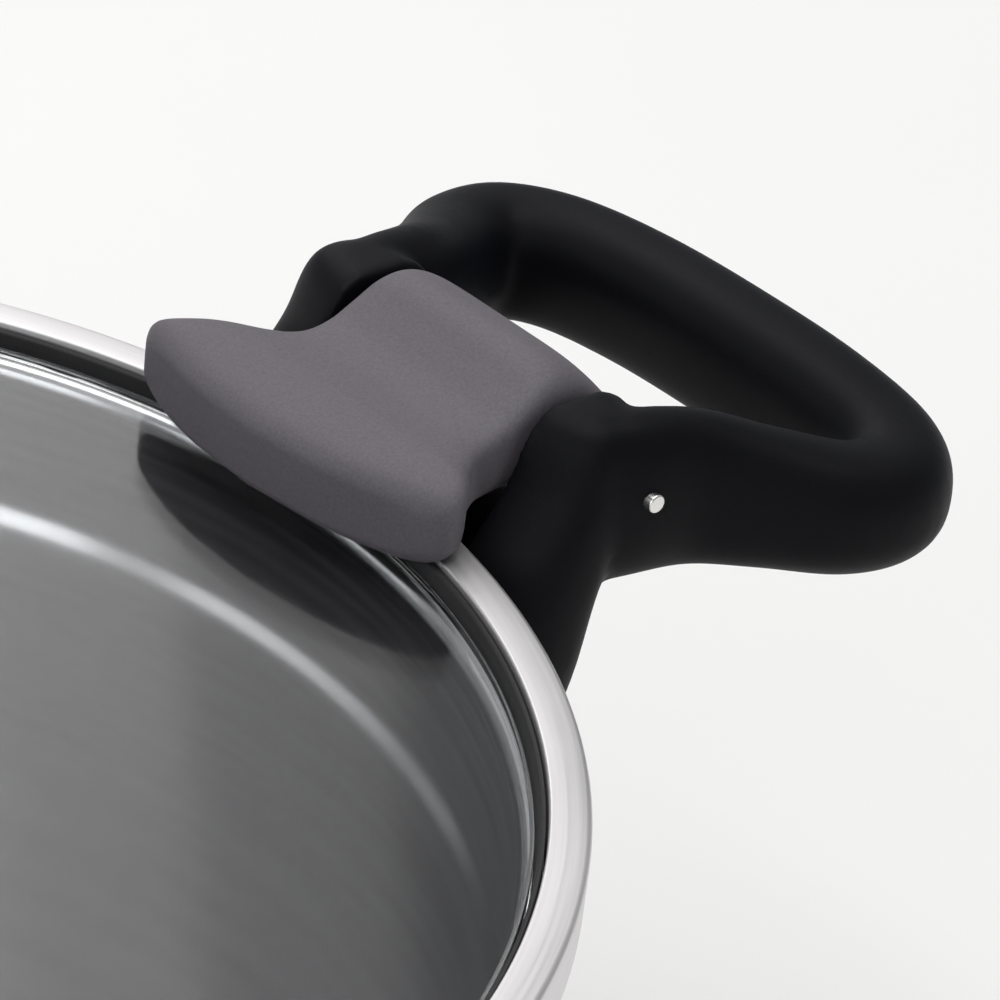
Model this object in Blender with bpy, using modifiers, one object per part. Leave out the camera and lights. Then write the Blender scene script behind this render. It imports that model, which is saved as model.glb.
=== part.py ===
"""Glass-lidded stovetop pressure cooker, 22 cm, with two loop handles and tilting lid clips.

Metres, +Z up, origin under the centre of the base. The handles sit on +X and -X.
The numbers below are millimetres, and MM turns them into metres.
"""
import bpy
import bmesh
from math import sin, cos, pi, radians

MM = 0.001
SEGS = 48               # steps round the pot

RIM = 118.0             # outer radius of the flat rim
H = 142.0               # height of the rim plane
WALL = 1.0              # sheet thickness of the pot
WALL_UP = 109.8         # inner radius above the ring step
WALL_LOW = 108.8        # inner radius below the ring step
SEAT = 112.8            # inner radius of the lid seat
STEP_Z = H - 29.8       # middle of the ring step
LEDGE_Z = H - 6.7       # top of the ledge carrying the lid
SKIRT = 8.5             # height of the turned-down rim edge
FLOOR = 8.2             # top of the pot floor

GLASS_R = 111.4
GLASS_TOP = H - 2.9
GLASS_T = 3.5           # thickness of the glass

PIN_X = 138.0           # clip axis, outward from the pot axis
PIN_Z = H + 5.3
PIN_R = 1.35
EAR_IN = 19.6           # inner face of each ear, from the mid plane
CLIP_W = 18.2           # half width of the clip between the ears
SLOT_Z = H - 6.5        # floor of the slot under the clip

SCREW_Y = 10.0
SCREW_Z = H - 21.0

VALVE = (-56.0, 0.0)
SAFETY = (-28.0, -50.0)

GAP = 0.3               # clearance between touching pieces

PARTS = bpy.data.collections.new("pressure_cooker")
CUTTERS = bpy.data.collections.new("cutters")


def clear_scene():
    for ob in list(bpy.data.objects):
        bpy.data.objects.remove(ob, do_unlink=True)
    bpy.context.scene.collection.children.link(PARTS)
    bpy.context.scene.collection.children.link(CUTTERS)


# ---------------------------------------------------------------- materials
def material(name, color, metallic=0.0, roughness=0.5, transmission=0.0):
    mat = bpy.data.materials.get(name)
    if mat is None:
        mat = bpy.data.materials.new(name)
        mat.use_nodes = True
        bsdf = mat.node_tree.nodes["Principled BSDF"]
        bsdf.inputs["Base Color"].default_value = (*color, 1.0)
        bsdf.inputs["Metallic"].default_value = metallic
        bsdf.inputs["Roughness"].default_value = roughness
        bsdf.inputs["Transmission Weight"].default_value = transmission
        mat.diffuse_color = (*color, 1.0)
    return mat


def steel():
    return material("stainless_steel", (0.62, 0.61, 0.60), 1.0, 0.28)


def aluminium():
    return material("aluminium", (0.78, 0.79, 0.80), 1.0, 0.45)


def soft_black():
    return material("black_soft_touch", (0.015, 0.016, 0.02), 0.0, 0.45)


def grey_plastic():
    return material("grey_plastic", (0.14, 0.125, 0.14), 0.0, 0.55)


def silicone():
    return material("black_silicone", (0.03, 0.03, 0.03), 0.0, 0.6)


def spring_steel():
    return material("spring_steel", (0.45, 0.45, 0.47), 1.0, 0.3)


# ---------------------------------------------------------------- modelling helpers
def place(name, data, mat, at=(0, 0, 0), rotation=(0, 0, 0), parent=None):
    """Link an object at a place in millimetres. Without a material it is a cutter."""
    ob = bpy.data.objects.new(name, data)
    ob.location = [c * MM for c in at]
    ob.rotation_euler = rotation
    ob.parent = parent
    if mat is None:
        CUTTERS.objects.link(ob)
        ob.hide_render = True
        ob.display_type = "WIRE"
    else:
        PARTS.objects.link(ob)
        data.materials.append(mat)
    return ob


def empty(name, at=(0, 0, 0), turn=0.0, parent=None):
    ob = bpy.data.objects.new(name, None)
    ob.location = [c * MM for c in at]
    ob.rotation_euler = (0, 0, turn)
    ob.parent = parent
    PARTS.objects.link(ob)
    return ob


def turned(name, profile, mat, segs=SEGS, ring=False, at=(0, 0, 0), rotation=(0, 0, 0),
           parent=None):
    """Turn a profile of (radius, height) round Z. A ring profile closes on itself."""
    around = list(zip(profile, profile[1:] + profile[:1]))
    if sum(a[0] * b[1] - b[0] * a[1] for a, b in around) > 0:
        profile = profile[::-1]
    bm = bmesh.new()
    verts = [bm.verts.new((r * MM, 0, z * MM)) for r, z in profile]
    for a, b in zip(verts, verts[1:]):
        bm.edges.new((a, b))
    if ring:
        bm.edges.new((verts[-1], verts[0]))
    mesh = bpy.data.meshes.new(name)
    bm.to_mesh(mesh)
    bm.free()
    ob = place(name, mesh, mat, at, rotation, parent)
    screw = ob.modifiers.new("Turn", "SCREW")
    screw.steps = segs
    screw.render_steps = segs
    screw.use_merge_vertices = True
    screw.merge_threshold = 0.00001
    return ob


def rod(name, radius, length, mat, axis="Z", at=(0, 0, 0), segs=16, bevel=0.0, parent=None):
    bm = bmesh.new()
    bmesh.ops.create_cone(bm, cap_ends=True, segments=segs, radius1=radius * MM,
                          radius2=radius * MM, depth=length * MM)
    mesh = bpy.data.meshes.new(name)
    bm.to_mesh(mesh)
    bm.free()
    rotation = {"X": (0, pi / 2, 0), "Y": (pi / 2, 0, 0), "Z": (0, 0, 0)}[axis]
    ob = place(name, mesh, mat, at, rotation, parent)
    if bevel:
        round_edges(ob, bevel, 1)
    return ob


def block(name, low, high, mat, at=(0, 0, 0), parent=None):
    bm = bmesh.new()
    bmesh.ops.create_cube(bm, size=1.0)
    size = [(b - a) * MM for a, b in zip(low, high)]
    middle = [(a + b) * MM / 2 for a, b in zip(low, high)]
    bmesh.ops.scale(bm, verts=bm.verts, vec=size)
    bmesh.ops.translate(bm, verts=bm.verts, vec=middle)
    mesh = bpy.data.meshes.new(name)
    bm.to_mesh(mesh)
    bm.free()
    return place(name, mesh, mat, at, parent=parent)


def round_edges(ob, width, segments):
    bevel = ob.modifiers.new("Round", "BEVEL")
    bevel.width = width * MM
    bevel.segments = segments
    bevel.limit_method = "ANGLE"
    bevel.angle_limit = radians(50)


def boolean(target, tool, operation="DIFFERENCE"):
    mod = target.modifiers.new(tool.name, "BOOLEAN")
    mod.operation = operation
    mod.solver = "EXACT"
    mod.object = tool
    return target


def coil(name, radius, wire, turns, pitch, at, rotation=(0, 0, 0), parent=None, per_turn=10):
    """Round wire spring."""
    count = int(turns * per_turn)
    curve = bpy.data.curves.new(name, "CURVE")
    curve.dimensions = "3D"
    curve.bevel_depth = wire * MM
    curve.bevel_resolution = 1
    curve.use_fill_caps = True
    spline = curve.splines.new("POLY")
    spline.points.add(count)
    for k, point in enumerate(spline.points):
        angle = 2 * pi * k / per_turn
        point.co = (radius * cos(angle) * MM, radius * sin(angle) * MM,
                    pitch * k / per_turn * MM, 1)
    return place(name, curve, spring_steel(), at, rotation, parent)


def smooth_keys(keys, count):
    """Rows on a Catmull-Rom curve through the key rows, evenly spaced in their first two."""
    def point(i, f):
        p0, p1 = keys[max(i - 1, 0)], keys[i]
        p2, p3 = keys[i + 1], keys[min(i + 2, len(keys) - 1)]
        return [0.5 * (2 * b + (c - a) * f + (2 * a - 5 * b + 4 * c - d) * f * f
                       + (3 * b - a - 3 * c + d) * f ** 3)
                for a, b, c, d in zip(p0, p1, p2, p3)]
    dense = [point(i, f / 12.0) for i in range(len(keys) - 1) for f in range(12)]
    dense.append(list(keys[-1]))
    dist = [0.0]
    for a, b in zip(dense, dense[1:]):
        dist.append(dist[-1] + ((a[0] - b[0]) ** 2 + (a[1] - b[1]) ** 2) ** 0.5)
    rows, j = [], 0
    for k in range(count):
        want = dist[-1] * k / (count - 1)
        while j < len(dist) - 2 and dist[j + 1] < want:
            j += 1
        f = min(max((want - dist[j]) / max(dist[j + 1] - dist[j], 1e-9), 0.0), 1.0)
        rows.append([a + (b - a) * f for a, b in zip(dense[j], dense[j + 1])])
    return rows


def loft(name, sections):
    """Mesh through sections of equal length, closed with a flat face at each end."""
    bm = bmesh.new()
    loops = [[bm.verts.new([c * MM for c in p]) for p in section] for section in sections]
    edges = []
    for loop in loops:
        edges.append([bm.edges.new((a, b)) for a, b in zip(loop, loop[1:] + loop[:1])])
    for a, b in zip(edges, edges[1:]):
        bmesh.ops.bridge_loops(bm, edges=a + b)
    bm.faces.new(loops[0])
    bm.faces.new(loops[-1])
    bmesh.ops.recalc_face_normals(bm, faces=bm.faces)
    mesh = bpy.data.meshes.new(name)
    bm.to_mesh(mesh)
    bm.free()
    return mesh


def super_point(angle, a, b, power):
    """Point on a superellipse, from a circle (power 2) towards a rectangle."""
    c, s = cos(angle), sin(angle)
    return (a * (1 if c >= 0 else -1) * abs(c) ** (2.0 / power),
            b * (1 if s >= 0 else -1) * abs(s) ** (2.0 / power))


def disc(r, z0, z1, edge):
    return [(0, z0), (r - edge, z0), (r, z0 + edge), (r, z1 - edge), (r - edge, z1), (0, z1)]


def washer(r0, r1, z0, z1):
    return [(r0, z0), (r1, z0), (r1, z1), (r0, z1)]


# ---------------------------------------------------------------- pot
def build_pot():
    """Drawn sheet: floor, wall, ring step, ledge, riser, flat rim, turned-down edge."""
    t = WALL
    inside = [(0, FLOOR), (94, FLOOR), (101, FLOOR + 1.6), (106, FLOOR + 6),
              (WALL_LOW, FLOOR + 14), (WALL_LOW, STEP_Z - 1.1), (WALL_UP, STEP_Z + 1.1),
              (WALL_UP, LEDGE_Z - 0.5), (WALL_UP + 0.5, LEDGE_Z), (SEAT, LEDGE_Z),
              (SEAT, H - 0.4), (SEAT + 0.4, H), (RIM - 0.7, H), (RIM, H - 0.7),
              (RIM, H - SKIRT + 0.8), (RIM - 0.5, H - SKIRT)]
    outside = [(RIM - 0.5 - t, H - SKIRT + 0.3), (RIM - t, H - SKIRT + 1.2),
               (RIM - t, H - t - 0.3), (RIM - t - 0.3, H - t), (SEAT + t + 0.3, H - t),
               (SEAT + t, H - t - 0.3), (SEAT + t, LEDGE_Z - t),
               (WALL_UP + t + 0.5, LEDGE_Z - t), (WALL_UP + t, LEDGE_Z - t - 0.8),
               (WALL_UP + t, STEP_Z + 0.9), (WALL_LOW + t, STEP_Z - 1.3),
               (WALL_LOW + t, FLOOR + 13.5), (106.8, FLOOR + 5), (101.5, FLOOR + 0.4),
               (94.2, FLOOR - t), (0, FLOOR - t)]
    turned("pot_shell", inside + outside, steel())
    turned("base_core", disc(92.0, 0.95, 6.9, 0.6), aluminium(), segs=40)
    turned("base_cap", [(0, 0), (93.5, 0), (95.2, 1.2), (95.8, 3.2), (95.8, 6.2), (95.2, 6.9),
                        (94.2, 6.2), (94.0, 3.2), (93.2, 1.1), (92.6, 0.65), (0, 0.65)],
           steel(), segs=40)


# ---------------------------------------------------------------- lid
# Everything on the lid is measured from the top face of the glass.
def build_lid(lid):
    glass = turned("lid_glass", disc(GLASS_R, -GLASS_T, 0, 0.5),
                   material("tempered_glass", (0.80, 0.86, 0.84), 0.0, 0.03, 0.9), parent=lid)
    for name, at, radius in (("knob_hole", (0, 0, 0), 4.4), ("valve_hole", (*VALVE, 0), 6.4),
                             ("safety_hole", (*SAFETY, 0), 5.4)):
        boolean(glass, rod(name, radius, 20, None, "Z", at, 20, parent=lid))
    turned("lid_gasket", [(GLASS_R + GAP, -3.4), (SEAT - GAP, -3.4), (SEAT - GAP, 1.7),
                          (SEAT - GAP - 0.3, 2.0), (GLASS_R + GAP + 0.2, 1.6),
                          (GLASS_R + GAP, 1.0)], silicone(), ring=True, parent=lid)


def build_knob(lid):
    turned("knob_washer", washer(3.6, 17.0, 0.3, 1.3), silicone(), 18, True, parent=lid)
    turned("knob_foot", [(3.5, 1.6), (20.5, 1.6), (21.6, 2.6), (21.6, 4.2), (18.0, 5.8),
                         (11.5, 8.4), (9.6, 14.0), (9.6, 16.6), (3.5, 16.6)],
           soft_black(), 24, True, parent=lid)
    grip = turned("knob_grip", [(0, 16.9), (10.2, 16.9), (14.0, 17.6), (21.0, 19.2),
                                (25.5, 21.8), (27.5, 25.2), (27.2, 28.6), (24.6, 31.6),
                                (20.0, 33.4), (16.4, 34.0), (16.4, 32.9), (0, 32.9)],
                  soft_black(), 24, parent=lid)
    boolean(grip, rod("bolt_hole", 3.4, 14.0, None, "Z", (0, 0, 21.0), 16, parent=lid))
    turned("knob_inlay", [(0, 33.2), (15.9, 33.2), (16.0, 34.0), (13.0, 34.7), (0, 35.0)],
           steel(), 24, parent=lid)
    under = -GLASS_T
    turned("knob_bolt", [(0, under - 4.4), (6.2, under - 4.4), (7.2, under - 3.6),
                         (7.2, under - 1.6), (3.1, under - 1.6), (3.1, 26.5), (2.7, 27.0),
                         (0, 27.0)], steel(), 20, parent=lid)
    turned("knob_under_washer", washer(3.5, 9.5, under - 1.3, under - 0.3), silicone(), 18, True,
           parent=lid)


def hex_nut(name, at, bore, across, z0, z1, lid):
    nut = turned(name, disc(across, z0, z1, 0.5), steel(), 6, False, (*at, 0), parent=lid)
    return boolean(nut, rod(name + "_bore", bore, z1 - z0 + 6, None, "Z",
                            (*at, (z0 + z1) / 2), 20, parent=lid))


def build_valve(lid):
    """Spring-loaded steam regulator under a turning cap."""
    at, under = (*VALVE, 0), -GLASS_T
    turned("valve_seal", washer(6.3, 11.0, 0.3, 1.4), silicone(), 18, True, at, parent=lid)
    turned("valve_body", [(2.2, under - 7.0), (5.6, under - 7.0), (6.0, under - 6.6), (6.0, 1.7),
                          (11.0, 1.7), (11.4, 2.1), (11.4, 4.4), (10.8, 5.0), (8.6, 5.0),
                          (8.6, 13.0), (8.2, 13.4), (6.4, 13.4), (6.4, 5.2), (2.2, 5.2)],
           steel(), 20, True, at, parent=lid)
    hex_nut("valve_nut", VALVE, 6.3, 10.4, under - 4.6, under - 0.3, lid)
    turned("valve_plunger", [(0, 1.2), (1.8, 1.2), (1.8, 5.5), (5.4, 5.5), (5.4, 6.9),
                             (2.2, 6.9), (2.2, 11.5), (1.8, 12.0), (0, 12.0)],
           steel(), 16, False, at, parent=lid)
    coil("valve_spring", 3.9, 0.42, 3.5, 2.1, (*VALVE, 7.7), parent=lid)
    cap = turned("valve_cap", [(0, 15.8), (12.4, 15.8), (12.4, 6.3), (14.0, 6.3), (15.0, 7.0),
                               (15.0, 16.6), (13.6, 18.6), (11.0, 19.4), (0, 19.4)],
                 soft_black(), 24, False, at, parent=lid)
    boolean(cap, block("cap_ridge", (-11.5, -2.2, 18.0), (11.5, 2.2, 22.4), None, at, lid), "UNION")
    boolean(cap, rod("cap_port", 1.8, 12, None, "Y", (VALVE[0], VALVE[1] - 15, 10.5), 12,
                     parent=lid))


def build_safety(lid):
    """Small safety valve: a red pin rises in its steel sleeve when there is pressure."""
    at, under = (*SAFETY, 0), -GLASS_T
    turned("safety_seal", washer(5.2, 8.6, 0.3, 1.3), silicone(), 18, True, at, parent=lid)
    turned("safety_body", [(2.6, under - 5.0), (4.6, under - 5.0), (5.0, under - 4.6), (5.0, 1.6),
                           (8.6, 1.6), (9.0, 2.0), (8.6, 4.6), (6.4, 5.6), (2.6, 5.6)],
           steel(), 20, True, at, parent=lid)
    hex_nut("safety_nut", SAFETY, 5.3, 8.8, under - 3.8, under - 0.3, lid)
    turned("safety_pin", [(0, under - 8.6), (3.8, under - 8.6), (3.8, under - 7.4),
                          (2.2, under - 7.4), (2.2, 5.9), (4.4, 5.9), (4.4, 6.8), (3.4, 7.8),
                          (0, 7.8)],
           material("signal_red", (0.55, 0.03, 0.02), 0.0, 0.4), 14, False, at, parent=lid)


# ---------------------------------------------------------------- handles and clips
def ear_block_mesh(name):
    """Rounded block against the pot wall, lofted upwards into the two ears."""
    levels = [(-33.0, 124.5, 6.0, 24.0), (-32.0, 124.5, 8.0, 27.0), (-28.0, 124.5, 10.0, 30.0),
              (-19.0, 125.0, 10.8, 32.2), (-9.0, 126.5, 12.0, 32.2), (-2.0, 129.2, 12.4, 31.6),
              (5.0, 133.0, 11.2, 30.8), (11.0, 134.2, 9.9, 29.8), (15.0, 134.6, 8.2, 28.4),
              (17.5, 134.6, 5.6, 26.4), (18.3, 134.6, 3.6, 24.8)]
    sections = []
    for z, centre, a, b in levels:
        ring = [super_point(2 * pi * k / 20, a, b, 2.7) for k in range(20)]
        sections.append([(centre + x, y, H + z) for x, y in ring])
    return loft(name, sections)


def loop_mesh(name):
    """Wide flat loop that leaves one ear, flares out, runs along the grip and comes back."""
    half = [(128.0, 26.0, 5.2, -11.0, 16.4), (138.0, 26.8, 5.4, -9.4, 16.4),
            (148.0, 29.4, 5.8, -8.8, 14.2), (157.0, 34.8, 6.8, -9.2, 11.2),
            (166.2, 40.4, 7.7, -10.0, 8.8), (174.6, 40.6, 8.1, -10.3, 8.0),
            (180.4, 32.8, 8.1, -10.2, 8.0), (182.8, 18.0, 8.1, -9.8, 8.4),
            (183.2, 0.0, 8.1, -9.6, 8.6)]
    rows = smooth_keys(half + [(x, -y, w, lo, hi) for x, y, w, lo, hi in half[-2::-1]], 33)
    sections = []
    for i, (x, y, w, lo, hi) in enumerate(rows):
        ax, ay = rows[max(i - 1, 0)][:2]
        bx, by = rows[min(i + 1, len(rows) - 1)][:2]
        length = ((bx - ax) ** 2 + (by - ay) ** 2) ** 0.5
        nx, ny = (by - ay) / length, -(bx - ax) / length
        ring = []
        for k in range(14):
            u, v = super_point(2 * pi * (k + 0.5) / 14, w, (hi - lo) / 2, 2.5)
            ring.append((x + nx * u, y + ny * u, H + (lo + hi) / 2 + v))
        sections.append(ring)
    return loft(name, sections)


def build_handle(tag, side):
    body = place("handle_loop_" + tag, ear_block_mesh("handle_loop_" + tag), soft_black(),
                 parent=side)
    boolean(body, place("loop_" + tag, loop_mesh("loop_" + tag), None, parent=side), "UNION")
    wall = WALL_UP + WALL + 2.0 + 2 * GAP
    rim = RIM + 0.5
    zone = [(0, H - 60), (wall, H - 60), (wall, H - SKIRT - 0.8), (rim, H - SKIRT - 0.8),
            (rim, H + 2.4), (0, H + 2.4)]
    boolean(body, turned("wall_zone_" + tag, zone, None, 48, parent=side))
    boolean(body, block("slot_" + tag, (100, -EAR_IN, SLOT_Z), (160, EAR_IN, H + 40), None,
                        parent=side))
    boolean(body, rod("ear_bore_" + tag, PIN_R + GAP, 120, None, "Y", (PIN_X, 0, PIN_Z), 16,
                      parent=side))
    for edge, y in (("left", SCREW_Y), ("right", -SCREW_Y)):
        for part, radius, x0, x1 in (("shank", 2.3, 100, 150), ("head", 4.4, 130, 150),
                                     ("boss", 4.4, 100, 120.4)):
            boolean(body, rod("%s_hole_%s_%s" % (part, edge, tag), radius, x1 - x0, None, "X",
                              ((x0 + x1) / 2, y, SCREW_Z), 12, parent=side))


def clip_mesh(name):
    """Slab nose with an upright front, low saddle, hump above the hinge. From the pin axis."""
    keys = [(101.0, 27.4, -0.9, 8.0), (101.6, 28.8, -1.4, 9.0), (104.0, 29.3, -1.4, 10.4),
            (108.0, 27.4, -1.0, 11.8), (111.5, 24.4, 0.4, 12.6), (115.5, 20.6, 1.6, 12.3),
            (119.5, 18.2, 1.8, 11.5), (123.5, 18.2, 2.0, 12.0), (127.5, 18.2, 1.8, 15.0),
            (131.0, 18.2, 0.2, 17.7), (134.5, 18.2, -2.2, 18.4), (138.0, 18.2, -3.4, 17.2),
            (141.5, 18.2, -2.9, 14.2), (144.5, 18.0, -0.8, 10.8), (146.8, 17.2, 2.2, 7.8)]
    rows = smooth_keys([(x, 0.0, w, lo, hi) for x, w, lo, hi in keys], 24)
    sections = []
    for x, _, w, lo, hi in rows:
        if x > 116.0:
            w = min(w, CLIP_W)
        nose = max(0.0, (116.0 - x) / 15.0)
        ring = []
        for k in range(18):
            y, v = super_point(2 * pi * (k + 0.5) / 18, w, (hi - lo) / 2, 6.0)
            y += 5.6 * nose
            shift = nose * 0.007 * (y - 9.0) ** 2
            ring.append((x + shift - PIN_X, y, H + (lo + hi) / 2 + v - PIN_Z))
        sections.append(ring)
    return loft(name, sections)


def build_clip(tag, side, axis):
    clip = place("clip_" + tag, clip_mesh("clip_" + tag), grey_plastic(), parent=axis)
    boolean(clip, rod("clip_bore_" + tag, PIN_R + GAP, 120, None, "Y", segs=16, parent=axis))
    boolean(clip, block("pocket_" + tag, (-4.6, -5.6, -20), (4.6, 5.6, 4.4), None, parent=axis))
    over = H + 1.5 - PIN_Z
    boolean(clip, block("pad_seat_" + tag, (105.9 - PIN_X, -13.4, -20), (111.2 - PIN_X, 13.4, over),
                        None, parent=axis))
    boolean(clip, turned("rim_gap_" + tag, [(110.5, -20), (119.8, -20), (119.8, over),
                                            (113.6, over), (110.5, over - 2.6)], None, 48, True,
                         (-PIN_X, 0, 0), parent=axis))
    rod("clip_pin_" + tag, PIN_R, 67.2, steel(), "Y", (PIN_X, 0, PIN_Z), 14, 0.25, side)
    coil("clip_spring_" + tag, 2.9, 0.5, 4.0, 1.5, (0, -3.2, 0), (-pi / 2, 0, 0), axis)
    low = GLASS_TOP + GAP - PIN_Z
    pad = block("clip_pad_" + tag, (106.4 - PIN_X, -13.0, low),
                (110.6 - PIN_X, 13.0, H + 1.2 - PIN_Z), silicone(), parent=axis)
    round_edges(pad, 0.8, 2)


def build_bracket(tag, side):
    """Curved plate on the pot wall with two threaded bosses, and the screws in them."""
    inner = WALL_UP + WALL + GAP
    outer = inner + 2.0
    low, high = H - 29.0, H - 11.4
    sections = []
    for k in range(11):
        angle = radians(-13.0 + 2.6 * k)
        sections.append([(r * cos(angle), r * sin(angle), z)
                         for r, z in ((inner, low), (outer, low), (outer, high), (inner, high))])
    name = "handle_bracket_" + tag
    plate = place(name, loft(name, sections), steel(), parent=side)
    for edge, y in (("left", SCREW_Y), ("right", -SCREW_Y)):
        boolean(plate, rod("boss_%s_%s" % (edge, tag), 4.0, 7.4, None, "X", (116.3, y, SCREW_Z),
                           16, parent=side), "UNION")
    for edge, y in (("left", SCREW_Y), ("right", -SCREW_Y)):
        boolean(plate, rod("thread_%s_%s" % (edge, tag), 2.1, 10.8, None, "X",
                           (119.6, y, SCREW_Z), 14, parent=side))
    for edge, y in (("left", SCREW_Y), ("right", -SCREW_Y)):
        turned("handle_screw_%s_%s" % (edge, tag),
               [(0, 0), (1.8, 0), (1.8, 15.8), (3.9, 15.8), (4.0, 16.4), (3.4, 18.2),
                (1.6, 18.6), (1.2, 17.6), (0, 17.6)], steel(), 14, False,
               (114.6, y, SCREW_Z), (0, pi / 2, 0), side)


def build_side(tag, turn):
    """One handle with its clip. The empties turn it round the pot and hold the clip's axis."""
    side = empty("side_" + tag, turn=turn)
    axis = empty("clip_axis_" + tag, (PIN_X, 0, PIN_Z), parent=side)
    build_handle(tag, side)
    build_clip(tag, side, axis)
    build_bracket(tag, side)


def main():
    clear_scene()
    build_pot()
    lid = empty("lid", (0, 0, GLASS_TOP))
    build_lid(lid)
    build_knob(lid)
    build_valve(lid)
    build_safety(lid)
    build_side("a", 0.0)
    build_side("b", pi)
    for ob in PARTS.objects:
        if ob.type == "MESH":
            ob.data.shade_smooth()
            ob.data.set_sharp_from_angle(angle=radians(35))
    bpy.context.view_layer.update()


main()
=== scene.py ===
import math

import bmesh
import bpy
from mathutils import Matrix, Vector


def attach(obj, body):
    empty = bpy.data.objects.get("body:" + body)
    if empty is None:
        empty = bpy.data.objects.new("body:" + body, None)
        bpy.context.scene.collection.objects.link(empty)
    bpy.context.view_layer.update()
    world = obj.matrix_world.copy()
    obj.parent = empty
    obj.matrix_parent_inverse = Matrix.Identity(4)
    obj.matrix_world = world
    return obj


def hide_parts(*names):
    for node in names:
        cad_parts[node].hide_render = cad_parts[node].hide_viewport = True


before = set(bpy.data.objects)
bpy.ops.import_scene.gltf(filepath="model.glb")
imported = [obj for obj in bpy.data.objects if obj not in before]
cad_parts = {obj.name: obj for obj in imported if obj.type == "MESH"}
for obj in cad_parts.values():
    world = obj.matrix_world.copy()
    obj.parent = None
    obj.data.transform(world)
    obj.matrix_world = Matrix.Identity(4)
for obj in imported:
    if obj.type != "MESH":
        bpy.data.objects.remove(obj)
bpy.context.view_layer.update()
scene = bpy.context.scene
print("frame loaded:", len(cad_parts), "parts")

mm = 0.001  # every shape below is drawn in millimetres

# heights, radii and thicknesses that the pot, the lid, the handles and the clips share
sizes = {
    "rimTop": 142.0, "rimRadius": 118.0, "seatRadius": 112.8, "ledgeTop": 135.3,
    "stepHeight": 112.2, "wallLow": 108.8, "wallUp": 109.8, "floorTop": 8.2,
    "glassRadius": 111.4, "glassTop": 139.1, "glassThick": 3.5,
    "pinX": 138.0, "pinZ": 147.3, "pinRadius": 1.35, "pinHalf": 33.6, "clearance": 0.3,
    "valveAt": (-56.0, 0.0), "safetyAt": (-28.0, -50.0),
    "bracketIn": 111.1, "bracketOut": 113.1, "screwY": 10.0, "screwZ": 121.0,
}
rim = sizes["rimTop"]
top = sizes["glassTop"]
under = top - sizes["glassThick"]  # lower face of the glass
middle = (0, 0)


# ---- material helpers
def newMaterial(name):
    material = bpy.data.materials.new(name)
    material.use_nodes = True
    tree = material.node_tree
    shader = next(n for n in tree.nodes if n.type == "BSDF_PRINCIPLED")
    return material, tree, shader


def addNode(tree, kind, **values):
    node = tree.nodes.new(kind)
    for key, value in values.items():
        setattr(node, key, value)
    return node


def objectPoint(tree):
    return addNode(tree, "ShaderNodeTexCoord").outputs["Object"]


def noise(tree, vector, scale, detail=3.0, roughness=0.55, w=None):
    # a fourth coordinate, w, gives a pattern that also changes along it
    node = addNode(tree, "ShaderNodeTexNoise", noise_dimensions="3D" if w is None else "4D")
    node.inputs["Scale"].default_value = scale
    node.inputs["Detail"].default_value = detail
    node.inputs["Roughness"].default_value = roughness
    tree.links.new(vector, node.inputs["Vector"])
    if w is not None:
        tree.links.new(w, node.inputs["W"])
    return node.outputs["Fac"]


def spread(tree, value, low, high, start=0.3, end=0.7):
    # noise mostly stays between start and end, which become low and high
    node = addNode(tree, "ShaderNodeMapRange")
    for key, number in (("From Min", start), ("From Max", end), ("To Min", low),
                        ("To Max", high)):
        node.inputs[key].default_value = number
    tree.links.new(value, node.inputs["Value"])
    return node.outputs["Result"]


def tint(tree, value, dark, light):
    node = addNode(tree, "ShaderNodeMix", data_type="RGBA")
    node.inputs["A"].default_value = (*dark, 1)
    node.inputs["B"].default_value = (*light, 1)
    tree.links.new(value, node.inputs["Factor"])
    return node.outputs["Result"]


def bump(tree, height, distance, below=None):
    node = addNode(tree, "ShaderNodeBump")
    node.inputs["Distance"].default_value = distance
    tree.links.new(height, node.inputs["Height"])
    if below is not None:
        tree.links.new(below, node.inputs["Normal"])
    return node.outputs["Normal"]


def math2(tree, operation, a, b):
    node = addNode(tree, "ShaderNodeMath", operation=operation)
    for socket, value in zip(node.inputs, (a, b)):
        if isinstance(value, float):
            socket.default_value = value
        else:
            tree.links.new(value, socket)
    return node.outputs[0]


def ringPoint(tree, centre, across, along):
    # runs along the turning marks: fine across radius and height, long round the axis
    place = addNode(tree, "ShaderNodeMapping")
    place.inputs["Location"].default_value = (-centre[0] * mm, -centre[1] * mm, 0)
    tree.links.new(objectPoint(tree), place.inputs["Vector"])
    split = addNode(tree, "ShaderNodeSeparateXYZ")
    tree.links.new(place.outputs[0], split.inputs[0])
    flat = addNode(tree, "ShaderNodeCombineXYZ")
    tree.links.new(split.outputs[0], flat.inputs[0])
    tree.links.new(split.outputs[1], flat.inputs[1])
    length = addNode(tree, "ShaderNodeVectorMath", operation="LENGTH")
    tree.links.new(flat.outputs[0], length.inputs[0])
    unit = addNode(tree, "ShaderNodeVectorMath", operation="NORMALIZE")
    tree.links.new(flat.outputs[0], unit.inputs[0])
    turn = addNode(tree, "ShaderNodeVectorMath", operation="SCALE")
    turn.inputs["Scale"].default_value = along
    tree.links.new(unit.outputs[0], turn.inputs[0])
    lift = addNode(tree, "ShaderNodeCombineXYZ")
    tree.links.new(math2(tree, "MULTIPLY", split.outputs[2], across), lift.inputs[2])
    join = addNode(tree, "ShaderNodeVectorMath", operation="ADD")
    tree.links.new(turn.outputs[0], join.inputs[0])
    tree.links.new(lift.outputs[0], join.inputs[1])
    return join.outputs[0], math2(tree, "MULTIPLY", length.outputs["Value"], across)


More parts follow.
